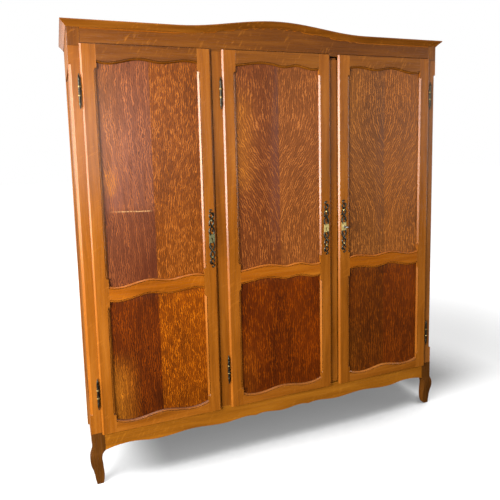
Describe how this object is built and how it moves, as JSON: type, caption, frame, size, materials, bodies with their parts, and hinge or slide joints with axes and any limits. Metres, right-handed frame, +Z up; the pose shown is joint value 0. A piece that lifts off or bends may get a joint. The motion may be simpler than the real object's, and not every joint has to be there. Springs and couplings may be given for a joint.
{
  "type": "wardrobe",
  "caption": "Free-standing oak wardrobe with lipped panelled doors on pin hinges, scalloped apron, cabriole front feet and an arched cornice.",
  "frame": {"origin": "on the floor, under the middle of the whole part's box", "axes": "+X to the right of someone facing the doors, +Y to the back, +Z up"},
  "size_m": [1.882, 0.6345, 2.042],
  "materials": {
    "oak_frame": "glossy stained oak",
    "oak_panel": "glossy stained quarter-sawn oak",
    "oak_inside": "plain oak",
    "bronze": "dark patinated",
    "brass": "polished",
    "steel": "aged"
  },
  "bodies": {
    "carcase": {"base_apron": "oak_frame", "front_left_foot": "oak_frame", "front_right_foot": "oak_frame", "front_left_post": "oak_frame", "front_right_post": "oak_frame", "mullion": "oak_frame", "frieze_rail": "oak_frame", "frieze_corner_blocks": "oak_frame", "cornice_front": "oak_frame", "cornice_left": "oak_frame", "cornice_right": "oak_frame", "side_rails": "oak_frame", "side_panels": "oak_panel", "base_rails": "oak_inside", "back_feet": "oak_inside", "floor_board": "oak_inside", "back_posts": "oak_inside", "partition": "oak_inside", "back_boards": "oak_inside", "frieze_rear_rails": "oak_inside", "top_board": "oak_inside", "left_shelves": "oak_inside", "hat_shelf": "oak_inside", "shelf_cleats": "oak_inside", "clothes_rail": "brass", "clothes_rail_sockets": "brass", "frame_hinge_halves": "bronze"},
    "left_door": {"left_door_hinge_stile": "oak_frame", "left_door_lock_stile": "oak_frame", "left_door_top_rail": "oak_frame", "left_door_mid_rail": "oak_frame", "left_door_bottom_rail": "oak_frame", "left_door_panels": "oak_panel", "left_door_hinge_halves": "bronze", "left_escutcheon": "bronze", "left_lock_case": "steel"},
    "centre_door": {"centre_door_hinge_stile": "oak_frame", "centre_door_lock_stile": "oak_frame", "centre_door_top_rail": "oak_frame", "centre_door_mid_rail": "oak_frame", "centre_door_bottom_rail": "oak_frame", "centre_door_panels": "oak_panel", "centre_door_hinge_halves": "bronze", "centre_escutcheon": "bronze", "false_mullion": "oak_frame", "flush_bolt_guides": "steel"},
    "right_door": {"right_door_hinge_stile": "oak_frame", "right_door_lock_stile": "oak_frame", "right_door_top_rail": "oak_frame", "right_door_mid_rail": "oak_frame", "right_door_bottom_rail": "oak_frame", "right_door_panels": "oak_panel", "right_door_hinge_halves": "bronze", "right_escutcheon": "bronze", "right_lock_case": "steel"},
    "key": {"key": "steel"},
    "right_bolt": {"right_lock_bolt": "steel"},
    "left_bolt": {"left_lock_bolt": "steel"},
    "top_flush_bolt": {"top_flush_bolt": "steel"},
    "bottom_flush_bolt": {"bottom_flush_bolt": "steel"}
  },
  "joints": [
    {"name": "left_door_swing", "type": "hinge", "parent": "carcase", "child": "left_door", "pos_m": [-0.881, -0.27005, 1.069], "axis": [0, 0, -1], "range_deg": [0, 165]},
    {"name": "centre_door_swing", "type": "hinge", "parent": "carcase", "child": "centre_door", "pos_m": [-0.2795, -0.27005, 1.069], "axis": [0, 0, -1], "range_deg": [0, 155]},
    {"name": "right_door_swing", "type": "hinge", "parent": "carcase", "child": "right_door", "pos_m": [0.881, -0.27005, 1.069], "axis": [0, 0, 1], "range_deg": [0, 165]},
    {"name": "key_turn", "type": "hinge", "parent": "right_door", "child": "key", "pos_m": [0.351, -0.26275, 1.063], "axis": [0, -1, 0], "range_deg": [0, 360]},
    {"name": "right_bolt_slide", "type": "slide", "parent": "right_door", "child": "right_bolt", "axis": [-1, 0, 0], "range_m": [0, 0.014]},
    {"name": "left_bolt_slide", "type": "slide", "parent": "left_door", "child": "left_bolt", "axis": [1, 0, 0], "range_m": [0, 0.014]},
    {"name": "top_flush_bolt_slide", "type": "slide", "parent": "centre_door", "child": "top_flush_bolt", "axis": [0, 0, 1], "range_m": [0, 0.014]},
    {"name": "bottom_flush_bolt_slide", "type": "slide", "parent": "centre_door", "child": "bottom_flush_bolt", "axis": [0, 0, -1], "range_m": [0, 0.014]}
  ],
  "couplings": [
    {"joint": "key_turn", "follows": "right_bolt_slide", "rad_per_m": 448.7}
  ]
}
